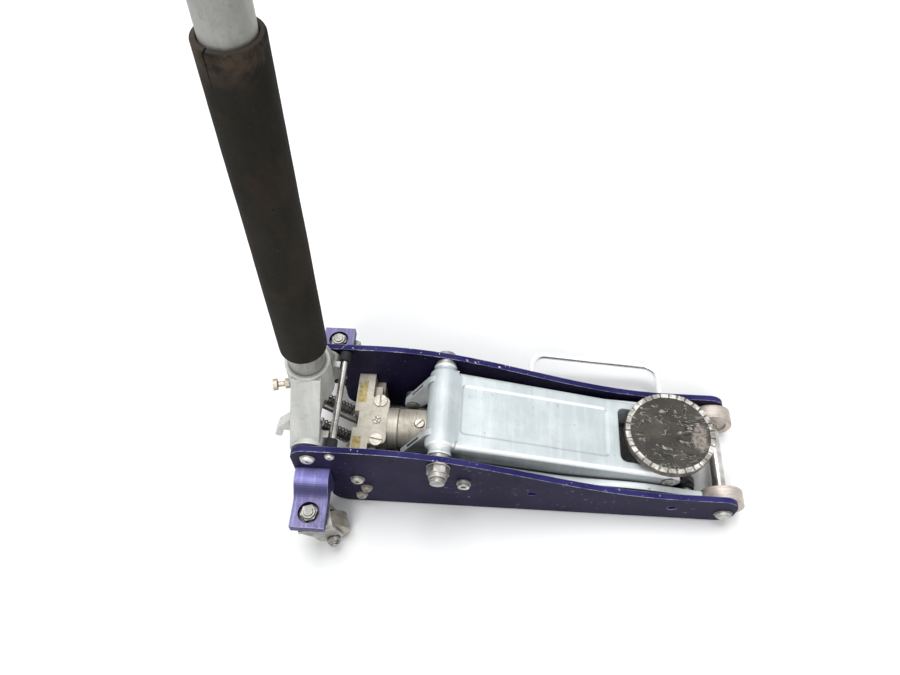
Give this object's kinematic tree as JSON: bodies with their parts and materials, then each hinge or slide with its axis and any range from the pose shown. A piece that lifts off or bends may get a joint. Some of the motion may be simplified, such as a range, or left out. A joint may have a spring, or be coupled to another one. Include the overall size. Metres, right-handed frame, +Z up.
{
  "type": "trolley jack",
  "caption": "Low-profile trolley jack: side plates, hydraulic unit, parallel-link lift arm with swivelling saddle, wheels, casters and an upright foam-sleeved handle.",
  "frame": {"origin": "on the floor under the centre of the overall box", "axes": "+X along the jack towards the saddle, +Y across it towards the carry handle, +Z up"},
  "size_m": [0.539, 0.2684, 1.019],
  "materials": {
    "frame_paint": "satin purple-blue enamel, chipped and dusty",
    "bracket_paint": "satin blue-violet enamel",
    "cast_silver": "silver paint over cast iron, scuffed",
    "zinc": "zinc-plated, dulled",
    "block_cast": "cream-grey cast surface",
    "tube_silver": "silver, lightly scratched",
    "dark_cast": "dark grey cast",
    "ground_steel": "ground steel",
    "chrome_rod": "polished",
    "bronze": "sintered bronze",
    "foam": "matt closed-cell foam, scuffed",
    "pad_rubber": "worn rubber",
    "wheel_cast": "worn steel",
    "caster_tread": "pale worn steel",
    "cap_rubber": "matt"
  },
  "bodies": {
    "frame": {"side_plate_near": "frame_paint", "side_plate_far": "frame_paint", "caster_bracket_near": "bracket_paint", "caster_bracket_far": "bracket_paint", "bracket_screws": "ground_steel", "tie_rod": "ground_steel", "tie_rod_sleeves": "dark_cast", "tie_rod_screws": "zinc", "power_unit_screws": "zinc", "arm_pivot_bolt": "zinc", "arm_pivot_nut": "zinc", "pivot_washers": "ground_steel", "link_pivot_bolts": "zinc", "front_axle": "ground_steel", "front_axle_nuts": "zinc", "axle_spacer": "ground_steel", "pump_block": "block_cast", "block_plugs": "zinc", "reservoir": "tube_silver", "ram_cylinder": "ground_steel", "reservoir_head": "ground_steel", "filler_plug": "zinc", "socket_screws": "zinc", "carry_handle": "chrome_rod", "carry_handle_screws": "zinc", "return_springs": "ground_steel", "plunger_springs": "ground_steel"},
    "arm": {"lift_arm": "cast_silver", "arm_bushes": "bronze", "fork_pins": "zinc", "ear_pins": "ground_steel"},
    "ram": {"ram": "chrome_rod", "crosshead": "cast_silver"},
    "ram_links": {"ram_links": "ground_steel"},
    "link_near": {"link_near": "cast_silver"},
    "link_far": {"link_far": "cast_silver"},
    "saddle_bracket": {"saddle_bracket": "dark_cast", "link_pins": "zinc"},
    "saddle": {"saddle_cup": "zinc", "saddle_pad": "pad_rubber"},
    "socket": {"handle_socket": "cast_silver", "retaining_bolt": "zinc", "roller_shaft": "ground_steel"},
    "rollers": {"pump_rollers": "ground_steel"},
    "handle": {"lower_tube": "tube_silver", "foam_sleeve": "foam", "upper_tube": "tube_silver", "end_cap": "cap_rubber", "release_cup": "ground_steel"},
    "snap_button": {"snap_button": "ground_steel"},
    "release_shaft": {"release_shaft": "ground_steel"},
    "plungers": {"pump_plungers": "ground_steel"},
    "front_wheel_near": {"front_wheel_near": "wheel_cast"},
    "front_wheel_far": {"front_wheel_far": "wheel_cast"},
    "caster_near": {"caster_fork_near": "zinc", "caster_axle_near": "zinc"},
    "caster_far": {"caster_fork_far": "zinc", "caster_axle_far": "zinc"},
    "caster_wheel_near": {"caster_wheel_near": "caster_tread"},
    "caster_wheel_far": {"caster_wheel_far": "caster_tread"}
  },
  "joints": [
    {"name": "arm_lift", "type": "hinge", "parent": "frame", "child": "arm", "pos_m": [-0.08642, 0, 0.113], "axis": [0, -1, 0], "range_deg": [0, 66]},
    {"name": "ram_slide", "type": "slide", "parent": "frame", "child": "ram", "axis": [1, 0, 0], "range_m": [0, 0.06537], "deforming": ["return_springs"]},
    {"name": "ram_link_turn", "type": "hinge", "parent": "arm", "child": "ram_links", "pos_m": [-0.12499, 0, 0.06704], "axis": [0, -1, 0], "range_deg": [-67, 1]},
    {"name": "link_near_turn", "type": "hinge", "parent": "frame", "child": "link_near", "pos_m": [-0.05842, -0.0533, 0.076], "axis": [0, -1, 0], "range_deg": [0, 67]},
    {"name": "link_far_turn", "type": "hinge", "parent": "frame", "child": "link_far", "pos_m": [-0.05842, 0.0533, 0.076], "axis": [0, -1, 0], "range_deg": [0, 67]},
    {"name": "saddle_level", "type": "hinge", "parent": "arm", "child": "saddle_bracket", "pos_m": [0.17708, 0, 0.0541], "axis": [0, -1, 0], "range_deg": [-67, 1]},
    {"name": "saddle_swivel", "type": "hinge", "parent": "saddle_bracket", "child": "saddle", "pos_m": [0.17588, 0, 0.0793], "axis": [0, 0, 1], "continuous": true},
    {"name": "handle_tilt", "type": "hinge", "parent": "frame", "child": "socket", "pos_m": [-0.22982, 0, 0.116], "axis": [0, -1, 0], "range_deg": [0, 75], "stiffness_Nm_per_rad": 20, "springref_deg": 0.98},
    {"name": "roller_spin", "type": "hinge", "parent": "socket", "child": "rollers", "pos_m": [-0.24419, 0, 0.11411], "axis": [0, 1, 0], "continuous": true},
    {"name": "handle_twist", "type": "hinge", "parent": "socket", "child": "handle", "pos_m": [-0.22629, 0, 0.20793], "axis": [0.0384, 0, 0.9993], "range_deg": [-20, 90]},
    {"name": "release_turn", "type": "hinge", "parent": "frame", "child": "release_shaft", "pos_m": [-0.22982, 0, 0.116], "axis": [-0.7071, 0, 0.7071], "range_deg": [-21, 91]},
    {"name": "button_press", "type": "slide", "parent": "handle", "child": "snap_button", "axis": [0, 1, 0], "range_m": [0, 0.0045], "stiffness_N_per_m": 600, "springref_m": -0.002},
    {"name": "pump_stroke", "type": "slide", "parent": "frame", "child": "plungers", "axis": [0.7071, 0, -0.7071], "range_m": [0, 0.01815], "deforming": ["plunger_springs"]},
    {"name": "front_wheel_near_spin", "type": "hinge", "parent": "frame", "child": "front_wheel_near", "pos_m": [0.24418, -0.053, 0.025], "axis": [0, 1, 0], "continuous": true},
    {"name": "front_wheel_far_spin", "type": "hinge", "parent": "frame", "child": "front_wheel_far", "pos_m": [0.24418, 0.053, 0.025], "axis": [0, 1, 0], "continuous": true},
    {"name": "caster_near_swivel", "type": "hinge", "parent": "frame", "child": "caster_near", "pos_m": [-0.22757, -0.115, 0.075], "axis": [0, 0, 1], "continuous": true},
    {"name": "caster_far_swivel", "type": "hinge", "parent": "frame", "child": "caster_far", "pos_m": [-0.22757, 0.115, 0.075], "axis": [0, 0, 1], "continuous": true},
    {"name": "caster_near_spin", "type": "hinge", "parent": "caster_near", "child": "caster_wheel_near", "pos_m": [-0.21045, -0.10944, 0.02], "axis": [0.309, -0.9511, 0], "continuous": true},
    {"name": "caster_far_spin", "type": "hinge", "parent": "caster_far", "child": "caster_wheel_far", "pos_m": [-0.21045, 0.10944, 0.02], "axis": [0.309, 0.9511, 0], "continuous": true}
  ],
  "couplings": [
    {"joint": "ram_slide", "follows": "arm_lift", "m_per_rad": 0.056314},
    {"joint": "ram_link_turn", "follows": "arm_lift", "ratio": -1},
    {"joint": "link_near_turn", "follows": "arm_lift", "ratio": 1},
    {"joint": "link_far_turn", "follows": "arm_lift", "ratio": 1},
    {"joint": "saddle_level", "follows": "arm_lift", "ratio": -1},
    {"joint": "pump_stroke", "follows": "handle_tilt", "m_per_rad": 0.013487},
    {"joint": "release_turn", "follows": "handle_twist", "ratio": 1}
  ]
}
